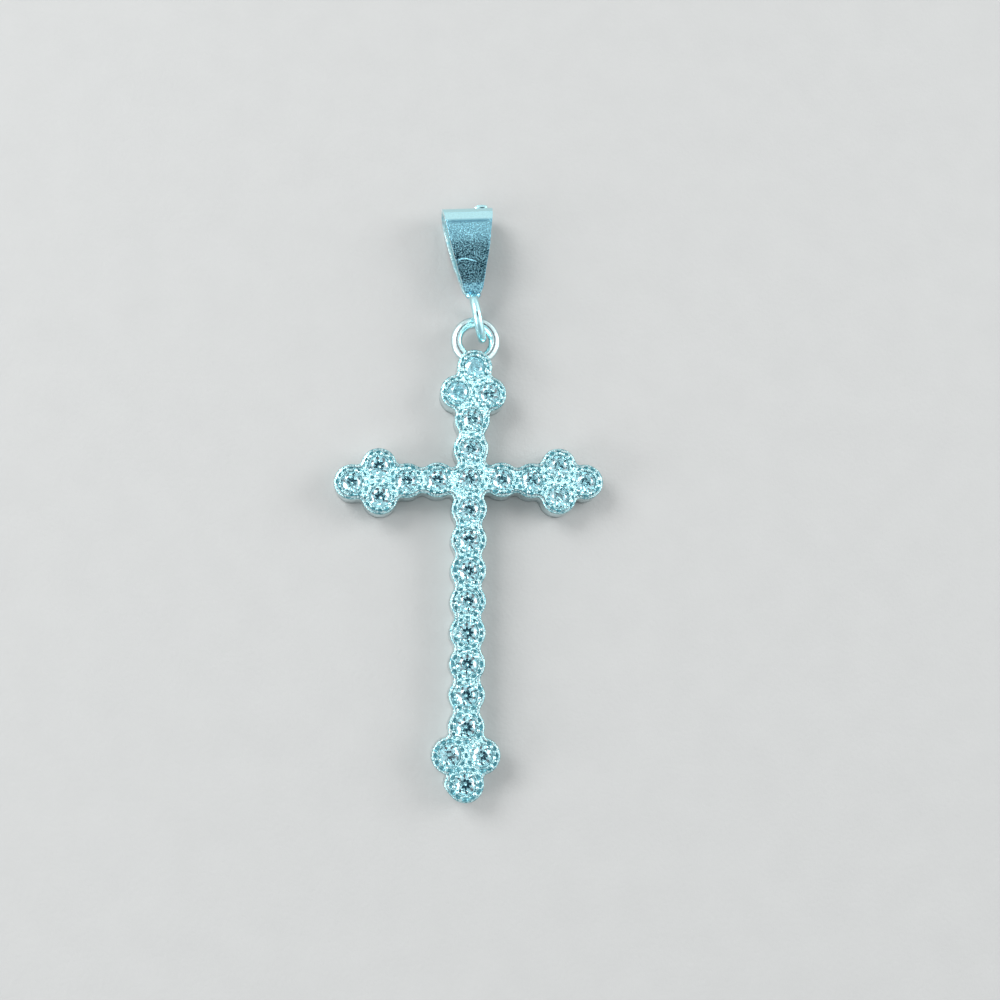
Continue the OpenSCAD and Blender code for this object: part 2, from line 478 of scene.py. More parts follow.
@dataclass(frozen=True)
class PitSilver:
    """Silver in the pits and seats: random grime, plus tarnish and painted shade that deepen downwards, all
    less where it is worn; the seats' bottoms under the stones get a darker painted shade.
    """

    clean: Colour = (0.56, 0.84, 0.87, 1)
    dark: Colour = (0.18, 0.42, 0.48, 1)
    # painted shade at the bottom of the seats, under the stones
    seat_shade: Colour = (0.07, 0.20, 0.25, 1)
    # tarnish and painted shade that deepen towards the bottom of the pits
    depth_span: Span = (1.92, 1.68)
    depth_share: float = 0.7
    seat_span: Span = (1.70, 1.50)
    worn_y: Span = (-8.0, 9.0)
    worn_share: float = 0.45
    grime: Lumps = Lumps(9.0)
    grime_share: float = 0.4
    relief: float = 0.02
    rough: float = 0.3
    rough_grime: float = 0.3

    def made(self) -> Material:
        """Builds the material."""
        r = recipe_for("pit_silver")
        here = r.place()
        _, y, z = r.axes(here)
        grime = r.grains(here, self.grime)
        # random grime, plus tarnish and painted shade that grow with depth
        grime_tarnish_and_shade = z.ramp(*self.depth_span) * self.depth_share + grime * self.grime_share
        tone = r.blend(grime_tarnish_and_shade * (1 - self.worn_share * y.ramp(*self.worn_y)), self.clean, self.dark)
        # painted shade at the bottom of the seats
        tone = r.blend(z.ramp(*self.seat_span), tone, self.seat_shade)
        rough = self.rough + grime * self.rough_grime
        r.surface(Base_Color=tone, Metallic=1.0, Roughness=rough, Normal=r.bump(grime, self.relief))
        return r.owner


@dataclass(frozen=True)
class Scratch:
    """A bent scratch across the upper leaf of the bail."""

    place: Span = (-0.67, 16.21)
    wide: float = 0.05
    corner: float = 0.02
    fall: float = 0.35
    lean: float = 0.10
    lift: float = 0.05
    waver: float = 0.25
    left: Span = (-1.25, -0.95)
    right: Span = (0.45, -0.35)
    grit: Span = (0.35, 0.6)
    above: Span = (2.0, 2.2)

    def mask(self, here: tuple[Wire, Wire, Wire], sand: Wire) -> Wire:
        """The scratch as a mask.

        Args:
            here: The place on the object, in three parts.
            sand: The noise that roughens the scratch.

        Returns:
            A wire that is 1 on the scratch's raised lip.
        """
        x, y, z = here
        aside, from_top = x - self.place[0], y - self.place[1]
        bend = (aside * aside + self.corner) ** 0.5
        off = from_top + bend * self.fall - aside * self.lean - self.lift + (sand - 0.5) * self.waver
        ends = x.ramp(*self.left) * x.ramp(*self.right)
        return abs(off).ramp(self.wide, 0.0) * ends * sand.ramp(*self.grit) * z.ramp(*self.above)


@dataclass(frozen=True)
class BailSilver:
    """Silver wire and strip. The strip is sandy and scratched once; its leaves are painted darker than the
    curl and the wire as painted shade and lighter towards the fold as painted light, with a painted shade
    line along the foot of its fold.
    """

    bright: Colour = (0.57, 0.92, 0.97, 1)
    # the leaves' colour, darker than the curl and the wire: painted shade
    leaf: Colour = (0.40, 0.80, 0.93, 1)
    shade: Colour = (0.04, 0.17, 0.26, 1)
    turn: float = BAIL_TURN
    strip_y: Span = (13.3, 13.7)
    fold_y: float = 19.05
    # line_wide to line_shade: the painted shade line at the foot of the fold; line_wide also sets where the
    # curl starts
    line_wide: float = 0.24
    line_middle: float = 1.174
    line_reach: float = 1.2
    line_fade: float = 0.5
    line_shade: float = 0.6
    # light_y with speck_lit: fewer dark specks on the leaves towards the fold, painted light
    light_y: Span = (16.9, 18.2)
    sand: Lumps = Lumps(14.0, 3, 0.65)
    speck_span: Span = (0.55, 0.45)
    speck_wire: float = 0.10
    speck_strip: float = 0.85
    speck_lit: float = 0.20
    grit_span: Span = (0.52, 0.64)
    grit_wire: float = 0.01
    grit_strip: float = 0.07
    brush: Lumps = Lumps(1.0)
    brush_scale: float = 4.0
    brush_stretch: float = 0.08
    brush_height: float = 0.05
    scratch: Scratch = Scratch()
    scratch_height: float = 0.7
    relief: float = 0.030
    cloud: Lumps = Lumps(0.5)
    rough: float = 0.10
    rough_cloud: float = 0.05

    def made(self) -> Material:
        """Builds the material."""
        r = recipe_for("bail_silver")
        here = r.place()
        x, y, z = r.axes(here)
        along = y * math.cos(self.turn) - x * math.sin(self.turn)
        curl = along.ramp(self.fold_y, self.fold_y + self.line_wide)
        strip = (1 - curl) * y.ramp(*self.strip_y)
        sand = r.grains(here, self.sand)
        scratch = self.scratch.mask((x, y, z), sand)
        # painted light: the leaves get fewer dark specks towards the fold
        light = along.ramp(*self.light_y)
        most = self.speck_wire + self.speck_strip * strip - self.speck_lit * strip * light
        specks = sand.ramp(*self.speck_span) * most * (1 - scratch)
        # painted shade line along the foot of the fold
        line = self._fold_shade_line(x, y, along) * (1 - curl) * self.line_shade
        # painted shade: the leaves take the darker leaf colour while the curl and the wire keep the bright
        # one
        tone = r.blend(r.most(specks, line), r.blend(strip, self.bright, self.leaf), self.shade)
        grit = sand.ramp(*self.grit_span) * (self.grit_wire + self.grit_strip * strip)
        height = grit + scratch * self.scratch_height + self._brushed(r, here) * self.brush_height
        rough = self.rough + self.rough_cloud * r.grains(here, self.cloud)
        r.surface(Base_Color=tone, Metallic=1.0, Roughness=rough, Normal=r.bump(height, self.relief))
        return r.owner

    def _fold_shade_line(self, x: Wire, y: Wire, along: Wire) -> Wire:
        """The painted shade line at the foot of the fold, up to where the fold starts.

        Args:
            x: The place in the frame's X.
            y: The place in the frame's Y.
            along: The place along the strip.

        Returns:
            A wire that is 1 at the fold and fades towards the leaf and the strip's edges.
        """
        across = x * math.cos(self.turn) + y * math.sin(self.turn) - self.line_middle
        inner = abs(across).ramp(self.line_reach + self.line_fade, self.line_reach)
        return along.ramp(self.fold_y - self.line_wide, self.fold_y) * inner

    def _brushed(self, r: Recipe, here: Wire) -> Wire:
        """Noise that is drawn out along the strip."""
        turned = {"Vector": here, "Rotation": (0, 0, -self.turn)}
        turned["Scale"] = (self.brush_scale, self.brush_scale * self.brush_stretch, 1.0)
        return r.grains(r.add("Mapping", {}, turned), self.brush)


@dataclass(frozen=True)
class EdgeSilver:
    """Bare silver on the strip's cut edges and inner side, painted paler than the strip as a highlight, with
    faint drag marks.
    """

    # paler than the strip's silver: bare metal with a painted highlight
    bright: Colour = (0.74, 0.94, 0.96, 1)
    worn: Colour = (0.46, 0.76, 0.82, 1)
    marks: Lumps = Lumps(2.4, 3, 0.6)
    mark_span: Span = (0.45, 0.62)
    relief: float = 0.02
    rough: float = 0.22
    rough_marks: float = 0.12

    def made(self) -> Material:
        """Builds the material."""
        r = recipe_for("edge_silver")
        marks = r.grains(r.place(), self.marks)
        tone = r.blend(marks.ramp(*self.mark_span), self.bright, self.worn)
        rough = self.rough + self.rough_marks * marks
        r.surface(Base_Color=tone, Metallic=1.0, Roughness=rough, Normal=r.bump(marks, self.relief))
        return r.owner


@dataclass(frozen=True)
class ClearStone:
    """Clear cut stone with a cool cast and faint polishing marks."""

    name: str = "clear_stone"
    clear: Colour = (0.50, 0.86, 0.92, 1)
    cool: Colour = (0.27, 0.68, 0.79, 1)
    index: float = 2.15
    haze: float = 0.0
    cloud: Lumps = Lumps(1.4)
    marks: Lumps = Lumps(16.0)
    relief: float = 0.0006
    rough: float = 0.01
    rough_haze: float = 0.6
    rough_marks: float = 0.03

    def made(self) -> Material:
        """Builds the material."""
        r = recipe_for(self.name)
        here = r.place()
        marks = r.grains(here, self.marks)
        r.surface(
            Base_Color=r.blend(r.grains(here, self.cloud), self.clear, self.cool),
            Roughness=self.haze * self.rough_haze + self.rough + marks * self.rough_marks,
            IOR=self.index,
            Transmission_Weight=1.0 - self.haze,
            Normal=r.bump(marks, self.relief),
        )
        return r.owner


PALE_STONE = ClearStone("pale_stone", clear=(0.46, 0.88, 0.97, 1), cool=(0.30, 0.77, 0.90, 1), haze=0.10)


@dataclass(frozen=True)
class PaleFloor:
    """Plain matt floor with the faintest mottling."""

    light: Colour = (0.37, 0.366, 0.360, 1)
    dark: Colour = (0.345, 0.341, 0.336, 1)
    mottle: Lumps = Lumps(0.35, 4)
    tooth: Lumps = Lumps(3.0)
    relief: float = 0.02
    rough: float = 0.7

    def made(self) -> Material:
        """Builds the material."""
        r = recipe_for("pale_floor")
        here = r.place()
        tone = r.blend(r.grains(here, self.mottle), self.light, self.dark)
        normal = r.bump(r.grains(here, self.tooth), self.relief)
        r.surface(Base_Color=tone, Roughness=self.rough, Normal=normal)
        return r.owner


# Sub-assemblies


@dataclass
class Arm:
    """One arm of the cross: its row of cells from the crossing outwards, and its trefoil."""

    row: list[Vector]
    pair_a: Vector
    tip: Vector
    pair_b: Vector

    @property
    def turn(self) -> float:
        """The arm's direction, in radians from +X."""
        return math.atan2(self.tip.y, self.tip.x)

    @property
    def cells(self) -> list[Vector]:
        """The middles of all the arm's cells."""
        return [*self.row, self.pair_a, self.tip, self.pair_b]


class Layout:
    """The places of the stones, read from the frame, in millimetres."""

    def __init__(self, nodes: Iterable[str]) -> None:
        """Reads the stones' places, and sorts them into arms."""
        self.stones: dict[str, Vector] = {}
        for node in sorted(nodes):
            if node.startswith("stone_"):
                low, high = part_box(node)
                self.stones[node] = (low + high) / 2 / MM
        self.arms = {name: self._arm(name) for name in ("right", "head", "left", "foot")}

    def _arm(self, name: str) -> Arm:
        """Collects one arm's stones."""
        row = []
        while f"stone_{name}_{len(row) + 1}" in self.stones:
            row.append(self._plan(f"stone_{name}_{len(row) + 1}"))
        ends = [self._plan(f"stone_{name}_{end}") for end in ("pair_a", "tip", "pair_b")]
        return Arm(row, *ends)

    def _plan(self, stone: str) -> Vector:
        """A stone's middle as seen from above."""
        return self.stones[stone].xy

    def cells(self) -> list[tuple[Vector, float]]:
        """The middle of every cell, with the turn of its arm."""
        crossing = (self._plan("stone_centre"), 0.0)
        return [crossing, *((cell, arm.turn) for arm in self.arms.values() for cell in arm.cells)]


@dataclass
class Casting:
    """The cast cross with its loop: rim, seats, lips, grains and pits."""

    layout: Layout
    thickness: float = 2.0
    cell_r: float = 1.29
    waist_r: float = 0.64
    trefoil_r: float = 0.35
    corner_r: float = 0.345
    fillet_room: float = 0.02
    step: float = 0.14
    wobble: float = 0.025
    wobble_scale: float = 0.9
    wobble_slice: float = 3.0
    top_round: float = 0.24
    top_steps: int = 4
    back_round: float = 0.07
    back_steps: int = 3
    rim_flat: float = 0.02
    rim_slope: float = 0.04
    rim_drop: float = 0.08
    seat_r: float = 0.785
    girdle_z: float = 1.73
    hole_r: float = 0.35
    seat_slope: float = 0.853
    seat_spare: float = 1.0
    seat_sides: int = 40
    lip_r: float = 0.855
    lip_wire: float = 0.05
    lip_sides: Sides = (40, 8)
    grain_r: float = 0.105
    grain_out: float = 0.88
    grain_slip: Span = (-0.05, 0.03)
    grain_turn: float = 0.14
    grain_size: Span = (0.6, 1.2)
    grain_long: float = 1.1
    grain_z: float = 1.90
    grains_per_cell: int = 12
    grain_seed: int = 7
    pit_out: float = 1.0
    pit_long: float = 0.42
    pit_wide: float = 0.26
    pit_size: Span = (0.8, 1.2)
    pit_skip: float = 0.12
    pit_new: float = 1.05
    pit_worn: float = 0.35
    pit_merge: float = 0.42
    pit_even: float = 0.1
    pit_slip: float = 0.04
    pit_rings: tuple[Span, ...] = ((-0.20, 0.4), (-0.15, 0.75), (-0.02, 0.95), (0.1, 1.15))
    pit_sides: int = 12
    pit_seed: int = 11
    loop_wire_r: float = 0.425
    loop_r: float = 1.4
    loop_z: float = 1.315
    loop_bite: float = 0.2
    loop_sides: Sides = (72, 24)
    flash_out: float = 0.22
    flash_reach: float = 0.7
    foot_flash: Span = (-1.29, 0.05)
    notch_flash: Span = (-0.5, 0.9)

    @property
    def loop_at(self) -> Vector:
        """The middle of the loop's hole as seen from above."""
        head = self.layout.arms["head"]
        out = self.cell_r + self.loop_r - self.loop_wire_r - self.loop_bite
        return head.tip + out * heading(head.turn)

    @property
    def floor_z(self) -> float:
        """Height of the sunk floor between the stones."""
        return self.thickness - self.rim_drop

    def _flash(self, point: Vector) -> float:
        """How far stray metal stands out at a point of the outline: beside the foot's tip and in a notch."""
        foot, left = self.layout.arms["foot"], self.layout.arms["left"]
        beside = foot.tip + Vector(self.foot_flash)
        notch = (left.tip + left.pair_b) / 2 + Vector(self.notch_flash)
        nearest = min((point - spot).length for spot in (beside, notch))
        return self.flash_out * math.exp(-2 * (nearest / self.flash_reach) ** 2)

    def _walk(self) -> list[tuple[Vector, float]]:
        """The cells passed on a walk round the outline, with the fillet's radius after each."""
        steps = []
        for arm in self.layout.arms.values():
            out = [(cell, self.waist_r) for cell in arm.row[:-1]]
            round_end = [(cell, self.trefoil_r) for cell in (arm.row[-1], arm.pair_a, arm.tip, arm.pair_b)]
            back = [(cell, self.waist_r) for cell in reversed(arm.row[1:])]
            steps += [*out, *round_end, *back, (arm.row[0], self.corner_r)]
        return steps

    def _fillet(self, a: Vector, b: Vector, radius: float) -> tuple[Vector, float]:
        """The middle and radius of the fillet between two cells, on the right of the way from a to b."""
        way = b - a
        radius = max(radius, way.length / 2 - self.cell_r + self.fillet_room)
        height = math.sqrt((self.cell_r + radius) ** 2 - (way.length / 2) ** 2)
        return (a + b) / 2 + height * Vector((way.y, -way.x)).normalized(), radius

    def _arc(self, middle: Vector, radius: float, start: Vector, end: Vector, bulge: int) -> list[Vector]:
        """Points of an arc, without its last one.

        Args:
            middle: The arc's middle.
            radius: Its radius.
            start: A point that lies in the direction of its start.
            end: A point that lies in the direction of its end.
            bulge: 1 for an arc that turns left, -1 for one that turns right.

        Returns:
            The points, a little off the true arc, as hand finishing leaves them.
        """
        first = math.atan2(*(start - middle).yx)
        last = math.atan2(*(end - middle).yx)
        sweep = bulge * ((bulge * (last - first)) % math.tau)
        count = max(2, math.ceil(abs(sweep) * radius / self.step))
        points = []
        for i in range(count):
            way = heading(first + sweep * i / count)
            point = middle + radius * way
            lumps = noise.noise(Vector((*point * self.wobble_scale, self.wobble_slice)))
            points.append(point + bulge * (self.wobble * lumps + self._flash(point)) * way)
        return points

    def _outline(self) -> list[Vector]:
        """The outline of the cross without its loop, anticlockwise from above."""
        walk = self._walk()
        cells = [cell for cell, _ in walk]
        following = cells[1:] + cells[:1]
        fillets = [self._fillet(cell, after, radius) for (cell, radius), after in zip(walk, following)]
        points = []
        for i, (middle, radius) in enumerate(fillets):
            points += self._arc(cells[i], self.cell_r, fillets[i - 1][0], middle, 1)
            points += self._arc(middle, radius, cells[i], following[i], -1)
        return points

    def _plate(self) -> Piece:
        """The flat body with its rounded edges and its rim."""
        outline = self._outline()
        disc = dict(vertices=len(outline), radius=1, fill_type="NGON")
        plate = primitive(bpy.ops.mesh.primitive_circle_add, **disc)
        for corner, point in zip(plate.data.vertices, outline):
            corner.co = (*point, 0)
        top = self.thickness
        with editing(plate):
            bpy.ops.mesh.select_all(action="SELECT")
            bpy.ops.mesh.extrude_region_move(TRANSFORM_OT_translate={"value": (0, 0, top)})
        face_outwards(plate)
        edges = ((top, self.top_round, self.top_steps), (0, self.back_round, self.back_steps))
        for height, size, steps in edges:
            with editing(plate, "EDGE"):
                grab(plate, "edges", lambda edge: all(abs(v.co.z - height) < TINY for v in edge.verts))
                bpy.ops.mesh.bevel(offset=size, segments=steps, profile=0.5, affect="EDGES")
        with editing(plate):
            grab(plate, "faces", lambda face: face.normal.z > 0 and len(face.verts) > len(outline) / 2)
            bpy.ops.mesh.inset(thickness=self.rim_flat, depth=0)
            bpy.ops.mesh.inset(thickness=self.rim_slope, depth=-self.rim_drop)
        return plate

    def _loop(self) -> Piece:
        """The cast loop."""
        return torus(self.loop_r, self.loop_wire_r, self.loop_sides, location=(*self.loop_at, self.loop_z))

    def _at_cells(self, model: Piece, height: float) -> Piece:
        """Copies a model to a height over the middle of every cell."""
        return repeated(model, [Matrix.Translation((*cell, height)) for cell, _ in self.layout.cells()])

    def _seats(self, finish: Material) -> Piece:
        """Cutters of all the seats, with their light holes."""
        cone_foot = self.girdle_z - (self.seat_r - self.hole_r) * self.seat_slope
        rings = [
            (-self.seat_spare, self.hole_r),
            (cone_foot, self.hole_r),
            (self.girdle_z, self.seat_r),
            (self.thickness + self.seat_spare, self.seat_r),
        ]
        model = drawn_up(rings, self.seat_sides)
        model.data.materials.append(finish)
        return self._at_cells(model, 0)

    def _lips(self) -> Piece:
        """Low round lips that stand round the seats."""
        return self._at_cells(torus(self.lip_r, self.lip_wire, self.lip_sides), self.floor_z)

    def _grains(self) -> Piece:
        """Round grains that stand round each stone and lean over its edge, each a little different."""
        draw = random.Random(self.grain_seed)
        places = []
        for cell, turn in self.layout.cells():
            for i in range(self.grains_per_cell):
                angle = turn + (i + 0.5) * math.tau / self.grains_per_cell
                angle += draw.uniform(-self.grain_turn, self.grain_turn)
                at = cell + (self.grain_out + draw.uniform(*self.grain_slip)) * heading(angle)
                size = draw.uniform(*self.grain_size)
                place = Matrix.Translation((*at, self.grain_z)) @ Matrix.Rotation(angle, 4, "Z")
                places.append(place @ Matrix.Diagonal((size, size * self.grain_long, size, 1)))
        grain = primitive(bpy.ops.mesh.primitive_ico_sphere_add, subdivisions=2, radius=self.grain_r)
        return repeated(grain, places)

    def _pit_marks(self) -> list[tuple[Vector, float]]:
        """Where pits lie round the cells, with the turn of each cell's mark."""
        marks = []
        for cell, turn in self.layout.cells():
            for i in range(self.grains_per_cell):
                angle = turn + i * math.tau / self.grains_per_cell
                marks.append((cell + self.pit_out * heading(angle), angle))
        return marks

    def _worn(self, place: Vector) -> float:
        """How worn the casting is at a place, from 0 at the foot's tip to 1 at the head's tip."""
        low, high = self.layout.arms["foot"].tip.y, self.layout.arms["head"].tip.y
        return (place.y - low) / (high - low)

    def _pit_groups(self) -> Iterator[list[tuple[Vector, float]]]:
        """Gathers the marks that lie close to each other and share one pit."""
        marks = self._pit_marks()
        while marks:
            group = [marks.pop(0)]
            for mark in list(marks):
                if any((mark[0] - other[0]).length < self.pit_merge for other in group):
                    group.append(mark)
                    marks.remove(mark)
            yield group

    def _pits(self, finish: Material) -> Piece:
        """Cutters of the pits: oval round a cell, and rounder where several cells share one."""
        draw = random.Random(self.pit_seed)
        places = []
        for group in self._pit_groups():
            if draw.random() < self.pit_skip:
                continue
            middle = sum((mark for mark, _ in group), Vector((0, 0))) / len(group)
            double = sum((heading(2 * angle) for _, angle in group), Vector((0, 0)))
            even = double.length / len(group)
            angle = math.atan2(double.y, double.x) / 2 if even > self.pit_even else 0.0
            long = self.pit_wide + (self.pit_long - self.pit_wide) * even
            size = draw.uniform(*self.pit_size) / 2 * (self.pit_new - self.pit_worn * self._worn(middle))
            middle = middle + self.pit_slip * Vector((draw.uniform(-1, 1), draw.uniform(-1, 1)))
            place = Matrix.Translation((*middle, self.floor_z)) @ Matrix.Rotation(angle, 4, "Z")
            places.append(place @ Matrix.Diagonal((self.pit_wide * size, long * size, 1, 1)))
        model = drawn_up(self.pit_rings, self.pit_sides)
        model.data.materials.append(finish)
        return repeated(model, places)

    def build(self, finish: Material, pit_finish: Material) -> None:
        """Builds and dresses the casting in place of the CAD cross.

        Args:
            finish: The silver of the casting.
            pit_finish: The darker silver in its pits and seats, with grime, tarnish and painted shade.
        """
        piece, loop, lips, grains = self._plate(), self._loop(), self._lips(), self._grains()
        for part in (piece, loop, lips, grains):
            part.data.materials.append(finish)
        combine(piece, loop, Join.ADD)
        combine(piece, lips, Join.ADD)
        combine(piece, self._pits(pit_finish), Join.CUT)
        combine(piece, self._seats(pit_finish), Join.CUT)
        combine(piece, grains, Join.ADD)
        smoothed(piece)
        settle(piece, "cross_casting", Slot.CASTING, "cross")


@dataclass
class Bail:
    """The folded strip, the upright ring that it is soldered to, and the solder between them."""

    loop_at: Vector
    head_turn: float
    loop_r: float
    wire_r: float = 0.325
    ring_r: float = 1.575
    ring_reach: float = 0.2
    ring_side: float = 0.06
    ring_turn: float = math.radians(12)
    ring_lean: float = math.radians(8)
    ring_sides: Sides = (96, 24)
    solder_depth: float = 0.2
    solder_size: Triple = (0.56, 0.36, 0.30)
    solder_out: float = 0.10
    solder_low: float = 0.08
    solder_sides: Sides = (40, 24)
    length: float = 6.85
    width: float = 3.75
    end_width: float = 1.55
    end_blunt: float = 0.01
    bulge: float = 0.12
    wobble: float = 0.03
    wobble_across: float = 2.0
    sheet: float = 0.32
    fold_r: float = 1.35
    leaf_gap: float = 0.06
    turn: float = BAIL_TURN
    rows: int = 160
    columns: int = 14
    edge_round: float = 0.14
    edge_steps: int = 3
    edge_angle: float = math.radians(50)
    edge_lean: float = 0.3
    bow: float = 0.20
    dip: float = 0.20
    dip_reach: float = 0.20
    burr_size: Triple = (0.48, 0.20, 0.14)
    burr_at: Triple = (1.12, 0.02, 1.62)
    burr_torn: float = 0.35
    burr_scale: float = 1.7
    burr_sides: Sides = (32, 16)
    smooth_strip: float = 40
    smooth_round: float = 60

    @property
    def ring_z(self) -> float:
        """Height of the ring's middle over the floor."""
        return self.ring_r * math.cos(self.ring_lean) + self.wire_r

    @property
    def ring_at(self) -> Vector:
        """The middle of the ring as seen from above."""
        out = heading(self.head_turn)
        right = Vector((out.y, -out.x))
        return self.loop_at + (self.loop_r + self.ring_reach) * out + self.ring_side * right

    @property
    def joint_at(self) -> Vector:
        """Where the strip's end meets the ring, as seen from above."""
        reach = self.ring_r + self.wire_r - self.solder_depth
        return self.ring_at + reach * Vector((-math.sin(self.ring_turn), math.cos(self.ring_turn)))

    def _placed(self) -> Matrix:
        """The strip's own place: its end at the joint, its fold along its own +Y."""
        return Matrix.Translation((*self.joint_at, 0)) @ Matrix.Rotation(self.turn, 4, "Z")

    def _path(self, share: float) -> Vector:
        """A point of the strip's outer side, from the upper leaf's end over the fold to the lower one's end.

        Args:
            share: How far along the strip it lies, from 0 to 1.

        Returns:
            Its distance from the strip's end and its height.
        """
        fold = Vector((self.length - self.fold_r, self.fold_r))
        end = Vector((0, self.ring_z))
        end_r = self.sheet + self.leaf_gap / 2
        run = fold - end
        tilt = math.atan2(run.y, run.x)
        flare = math.asin((self.fold_r - end_r) / run.length)
        quarter = math.pi / 2 + flare
        leaf = math.sqrt(run.length**2 - (self.fold_r - end_r) ** 2)
        half = leaf + quarter * self.fold_r
        along = share * 2 * half
        side = 1 if along <= half else -1
        from_end = min(along, 2 * half - along)
        if from_end < leaf:
            way = heading(tilt + side * quarter)
            flat = end + end_r * way + (from_end / leaf) * (run + (self.fold_r - end_r) * way)
            pressed = Vector((0, self._dipped(from_end / leaf)))
            return flat + self.bow * arched(from_end / leaf) * way - pressed
        return fold + self.fold_r * heading(tilt + side * (quarter - (from_end - leaf) / self.fold_r))

    def _dipped(self, share: float) -> float:
        """How far a leaf's end was pressed down on the ring at a share of the way to the fold."""
        return self.dip * max(0.0, 1 - share / self.dip_reach) ** 2

    def _half_width(self, y: float) -> float:
        """Half the strip's width at a distance from its end, round at the end itself."""
        end = self.end_width / 2
        if y < end:
            return math.sqrt(end**2 - (end - max(y, self.end_blunt)) ** 2)
        share = (self.length - y) / (self.length - end)
        return self.width / 2 + (end - self.width / 2) * share + self.bulge * arched(share)

    def _is_edge(self, face: bpy.types.MeshPolygon) -> bool:
        """Whether a face of the unplaced strip is on a cut edge or on its inner side."""
        share = min(1.0, face.center.y / (self.length - self.fold_r))
        above = face.center.z > self.ring_z + share * (self.fold_r - self.ring_z)
        inner = face.normal.z < 0 if above else face.normal.z > 0
        return inner or abs(face.normal.x) > self.edge_lean

    def _strip(self) -> Piece:
        """The folded strip, from a flat grid bent along its path and given its thickness."""
        grid = dict(x_subdivisions=self.columns, y_subdivisions=self.rows, size=2)
        strip = primitive(bpy.ops.mesh.primitive_grid_add, **grid)
        for point in strip.data.vertices:
            across, share = point.co.x, (1 - math.cos((point.co.y + 1) / 2 * math.pi)) / 2
            y, z = self._path(share)
            rough = self.wobble * noise.noise(Vector((y, z, across * self.wobble_across)))
            point.co = (across * (self._half_width(y) + rough), y, z)
        finish_with(strip, "SOLIDIFY", thickness=self.sheet, offset=-1, use_even_offset=True)
        limit = dict(limit_method="ANGLE", angle_limit=self.edge_angle)
        finish_with(strip, "BEVEL", width=self.edge_round, segments=self.edge_steps, **limit)
        for face in strip.data.polygons:
            face.material_index = 1 if self._is_edge(face) else 0
        strip.data.transform(self._placed())
        smoothed(strip, self.smooth_strip)
        return strip

    def _ring(self) -> Piece:
        """The upright wire ring."""
        place = dict(location=(*self.ring_at, self.ring_z))
        place["rotation"] = (0, math.pi / 2 - self.ring_lean, self.ring_turn)
        ring = torus(self.ring_r, self.wire_r, self.ring_sides, **place)
        smoothed(ring, self.smooth_round)
        return ring

    def _solder(self) -> Piece:
        """The smooth solder that fills the corner between the strip's end and the ring."""
        solder = ball(self.solder_sides)
        solder.data.transform(Matrix.Diagonal((*self.solder_size, 1)))
        place = Matrix.Translation((0, self.solder_out, self.ring_z - self.solder_low))
        solder.data.transform(self._placed() @ place)
        smoothed(solder, self.smooth_round)
        return solder

    def _burr(self) -> Piece:
        """A low smeared burr on the far side of the fold, where the strip was cut."""
        burr = ball(self.burr_sides)
        wide, long, high = self.burr_size
        for point in burr.data.vertices:
            torn = 1 + self.burr_torn * noise.noise(point.co * self.burr_scale)
            x, y, z = point.co
            point.co = (x * wide * torn, y * long * torn, z * high)
        across, past, up = self.burr_at
        burr.data.transform(self._placed() @ Matrix.Translation((across, self.length + past, up)))
        smoothed(burr, self.smooth_round)
        return burr

    def build(self, finish: Material, edge_finish: Material) -> None:
        """Builds and dresses the bail's pieces in place of the CAD bail.

        Args:
            finish: The silver of the strip, the ring and the solder.
            edge_finish: The brighter silver of the strip's cut edges and inner side, painted paler as a
                highlight.
        """
        made = [self._strip(), self._ring(), self._solder(), self._burr()]
        for piece in made:
            piece.data.materials.append(finish)
        made[0].data.materials.append(edge_finish)
        for piece, name in zip(made, ("bail_strip", "bail_ring", "bail_solder", "bail_burr")):
            settle(piece, name, Slot.BAIL, "bail")


